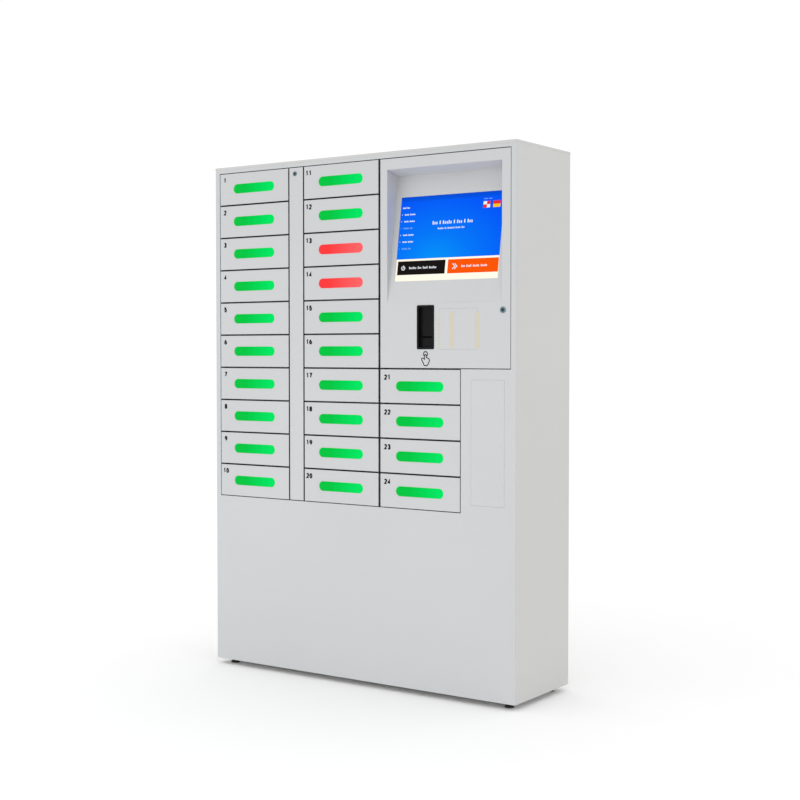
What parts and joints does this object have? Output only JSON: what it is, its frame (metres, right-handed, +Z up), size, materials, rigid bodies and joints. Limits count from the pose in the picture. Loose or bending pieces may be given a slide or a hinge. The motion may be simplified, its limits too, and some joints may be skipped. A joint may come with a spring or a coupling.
{
  "type": "phone charging kiosk",
  "caption": "Free-standing steel charging locker with hinged compartment doors with lit slots, a sloped touch screen in a recessed hinged door, a card reader and a narrow service door.",
  "frame": {"origin": "floor level under the middle of the cabinet", "axes": "+Z up, the front faces -Y, +X points to the right of someone facing the front; the width lies along X"},
  "size_m": [1.2542, 0.3595, 1.8],
  "materials": {
    "cabinet_paint": "fine powder coat, satin",
    "front_paint": "fine powder coat, satin",
    "galvanised": "galvanised sheet",
    "bright_steel": "zinc plated",
    "lock_metal": "plated",
    "lock_core": "dark blue-grey plated",
    "seal_foam": "closed-cell foam tape",
    "printed_cream": "printed film",
    "lock_housing": "moulded",
    "black_plastic": "fine moulded texture",
    "black_nylon": "moulded",
    "black_steel": "black oxide",
    "inner_paint": "fine powder coat, satin",
    "foot_rubber": "moulded",
    "board_green": "circuit board",
    "dark_aluminium": "anodised",
    "switch_red": "moulded",
    "screen_glass": "polished",
    "screen_picture": "lit display picture",
    "lens_green": "lit acrylic",
    "lens_red": "lit acrylic",
    "printed_black": "printed film"
  },
  "bodies": {
    "cabinet": {"base_pan": "cabinet_paint", "side_panel_left": "cabinet_paint", "side_panel_right": "cabinet_paint", "top_cap": "cabinet_paint", "rear_panel": "cabinet_paint", "rear_panel_screws": "bright_steel", "front_frame": "front_paint", "cover_plate": "front_paint", "levelling_feet": "foot_rubber", "compartment_walls": "inner_paint", "shelves_left": "inner_paint", "shelves_middle": "inner_paint", "shelves_right": "inner_paint", "hinge_rods": "black_steel", "hinge_brackets": "black_steel", "hinge_washers": "black_nylon", "lock_units": "lock_housing", "charging_sockets": "black_plastic", "lock_control_board": "board_green", "power_supply": "galvanised", "control_computer": "dark_aluminium", "fan_frame": "black_plastic", "power_inlet": "black_plastic"},
    "service_panel": {"service_door": "front_paint", "service_lock_barrel": "lock_metal"},
    "service_key": {"service_lock_plug": "lock_core"},
    "screen_panel": {"screen_door": "front_paint", "screen_recess": "front_paint", "display_panel": "galvanised", "touch_glass": "screen_glass", "card_reader": "black_plastic", "blanking_plate": "front_paint", "screen_lock_barrel": "lock_metal"},
    "screen_key": {"screen_lock_plug": "lock_core"},
    "fan_wheel": {"fan_rotor": "black_plastic"},
    "rocker": {"inlet_switch": "switch_red"},
    "compartment_01": {"door_01": "front_paint"},
    "compartment_02": {"door_02": "front_paint"},
    "compartment_03": {"door_03": "front_paint"},
    "compartment_04": {"door_04": "front_paint"},
    "compartment_05": {"door_05": "front_paint"},
    "compartment_06": {"door_06": "front_paint"},
    "compartment_07": {"door_07": "front_paint"},
    "compartment_08": {"door_08": "front_paint"},
    "compartment_09": {"door_09": "front_paint"},
    "compartment_10": {"door_10": "front_paint"},
    "compartment_11": {"door_11": "front_paint"},
    "compartment_12": {"door_12": "front_paint"},
    "compartment_13": {"door_13": "front_paint"},
    "compartment_14": {"door_14": "front_paint"},
    "compartment_15": {"door_15": "front_paint"},
    "compartment_16": {"door_16": "front_paint"},
    "compartment_17": {"door_17": "front_paint"},
    "compartment_18": {"door_18": "front_paint"},
    "compartment_19": {"door_19": "front_paint"},
    "compartment_20": {"door_20": "front_paint"},
    "compartment_21": {"door_21": "front_paint"},
    "compartment_22": {"door_22": "front_paint"},
    "compartment_23": {"door_23": "front_paint"},
    "compartment_24": {"door_24": "front_paint"}
  },
  "joints": [
    {"name": "door_01_hinge", "type": "hinge", "parent": "cabinet", "child": "compartment_01", "pos_m": [-0.5935, -0.1715, 1.7204], "axis": [0, 0, -1], "range_deg": [0, 90]},
    {"name": "door_02_hinge", "type": "hinge", "parent": "cabinet", "child": "compartment_02", "pos_m": [-0.5935, -0.1715, 1.6042], "axis": [0, 0, -1], "range_deg": [0, 90]},
    {"name": "door_03_hinge", "type": "hinge", "parent": "cabinet", "child": "compartment_03", "pos_m": [-0.5935, -0.1715, 1.488], "axis": [0, 0, -1], "range_deg": [0, 90]},
    {"name": "door_04_hinge", "type": "hinge", "parent": "cabinet", "child": "compartment_04", "pos_m": [-0.5935, -0.1715, 1.3718], "axis": [0, 0, -1], "range_deg": [0, 90]},
    {"name": "door_05_hinge", "type": "hinge", "parent": "cabinet", "child": "compartment_05", "pos_m": [-0.5935, -0.1715, 1.2556], "axis": [0, 0, -1], "range_deg": [0, 90]},
    {"name": "door_06_hinge", "type": "hinge", "parent": "cabinet", "child": "compartment_06", "pos_m": [-0.5935, -0.1715, 1.1394], "axis": [0, 0, -1], "range_deg": [0, 90]},
    {"name": "door_07_hinge", "type": "hinge", "parent": "cabinet", "child": "compartment_07", "pos_m": [-0.5935, -0.1715, 1.0232], "axis": [0, 0, -1], "range_deg": [0, 90]},
    {"name": "door_08_hinge", "type": "hinge", "parent": "cabinet", "child": "compartment_08", "pos_m": [-0.5935, -0.1715, 0.907], "axis": [0, 0, -1], "range_deg": [0, 90]},
    {"name": "door_09_hinge", "type": "hinge", "parent": "cabinet", "child": "compartment_09", "pos_m": [-0.5935, -0.1715, 0.7908], "axis": [0, 0, -1], "range_deg": [0, 90]},
    {"name": "door_10_hinge", "type": "hinge", "parent": "cabinet", "child": "compartment_10", "pos_m": [-0.5935, -0.1715, 0.6746], "axis": [0, 0, -1], "range_deg": [0, 90]},
    {"name": "door_11_hinge", "type": "hinge", "parent": "cabinet", "child": "compartment_11", "pos_m": [0.086, -0.1715, 1.7204], "axis": [0, 0, 1], "range_deg": [0, 90]},
    {"name": "door_12_hinge", "type": "hinge", "parent": "cabinet", "child": "compartment_12", "pos_m": [0.086, -0.1715, 1.6042], "axis": [0, 0, 1], "range_deg": [0, 90]},
    {"name": "door_13_hinge", "type": "hinge", "parent": "cabinet", "child": "compartment_13", "pos_m": [0.086, -0.1715, 1.488], "axis": [0, 0, 1], "range_deg": [0, 90]},
    {"name": "door_14_hinge", "type": "hinge", "parent": "cabinet", "child": "compartment_14", "pos_m": [0.086, -0.1715, 1.3718], "axis": [0, 0, 1], "range_deg": [0, 90]},
    {"name": "door_15_hinge", "type": "hinge", "parent": "cabinet", "child": "compartment_15", "pos_m": [0.086, -0.1715, 1.2556], "axis": [0, 0, 1], "range_deg": [0, 90]},
    {"name": "door_16_hinge", "type": "hinge", "parent": "cabinet", "child": "compartment_16", "pos_m": [0.086, -0.1715, 1.1394], "axis": [0, 0, 1], "range_deg": [0, 90]},
    {"name": "door_17_hinge", "type": "hinge", "parent": "cabinet", "child": "compartment_17", "pos_m": [0.086, -0.1715, 1.0232], "axis": [0, 0, 1], "range_deg": [0, 90]},
    {"name": "door_18_hinge", "type": "hinge", "parent": "cabinet", "child": "compartment_18", "pos_m": [0.086, -0.1715, 0.907], "axis": [0, 0, 1], "range_deg": [0, 90]},
    {"name": "door_19_hinge", "type": "hinge", "parent": "cabinet", "child": "compartment_19", "pos_m": [0.086, -0.1715, 0.7908], "axis": [0, 0, 1], "range_deg": [0, 90]},
    {"name": "door_20_hinge", "type": "hinge", "parent": "cabinet", "child": "compartment_20", "pos_m": [0.086, -0.1715, 0.6746], "axis": [0, 0, 1], "range_deg": [0, 90]},
    {"name": "door_21_hinge", "type": "hinge", "parent": "cabinet", "child": "compartment_21", "pos_m": [0.1155, -0.1715, 1.0232], "axis": [0, 0, -1], "range_deg": [0, 90]},
    {"name": "door_22_hinge", "type": "hinge", "parent": "cabinet", "child": "compartment_22", "pos_m": [0.1155, -0.1715, 0.907], "axis": [0, 0, -1], "range_deg": [0, 90]},
    {"name": "door_23_hinge", "type": "hinge", "parent": "cabinet", "child": "compartment_23", "pos_m": [0.1155, -0.1715, 0.7908], "axis": [0, 0, -1], "range_deg": [0, 90]},
    {"name": "door_24_hinge", "type": "hinge", "parent": "cabinet", "child": "compartment_24", "pos_m": [0.1155, -0.1715, 0.6746], "axis": [0, 0, -1], "range_deg": [0, 90]},
    {"name": "service_door_hinge", "type": "hinge", "parent": "cabinet", "child": "service_panel", "pos_m": [-0.2735, -0.1715, 1.197], "axis": [0, 0, -1], "range_deg": [0, 90]},
    {"name": "screen_door_hinge", "type": "hinge", "parent": "cabinet", "child": "screen_panel", "pos_m": [0.1155, -0.1715, 1.43], "axis": [0, 0, -1], "range_deg": [0, 90]},
    {"name": "service_key_turn", "type": "hinge", "parent": "service_panel", "child": "service_key", "pos_m": [-0.2587, -0.178, 1.755], "axis": [0, -1, 0], "range_deg": [0, 90]},
    {"name": "screen_key_turn", "type": "hinge", "parent": "screen_panel", "child": "screen_key", "pos_m": [0.5786, -0.178, 1.269], "axis": [0, -1, 0], "range_deg": [0, 90]},
    {"name": "fan_spin", "type": "hinge", "parent": "cabinet", "child": "fan_wheel", "pos_m": [-0.42, 0.1635, 0.33], "axis": [0, 1, 0], "continuous": true},
    {"name": "inlet_switch_tip", "type": "hinge", "parent": "cabinet", "child": "rocker", "pos_m": [0.52, 0.172, 0.131], "axis": [1, 0, 0], "range_deg": [0, 18]}
  ]
}
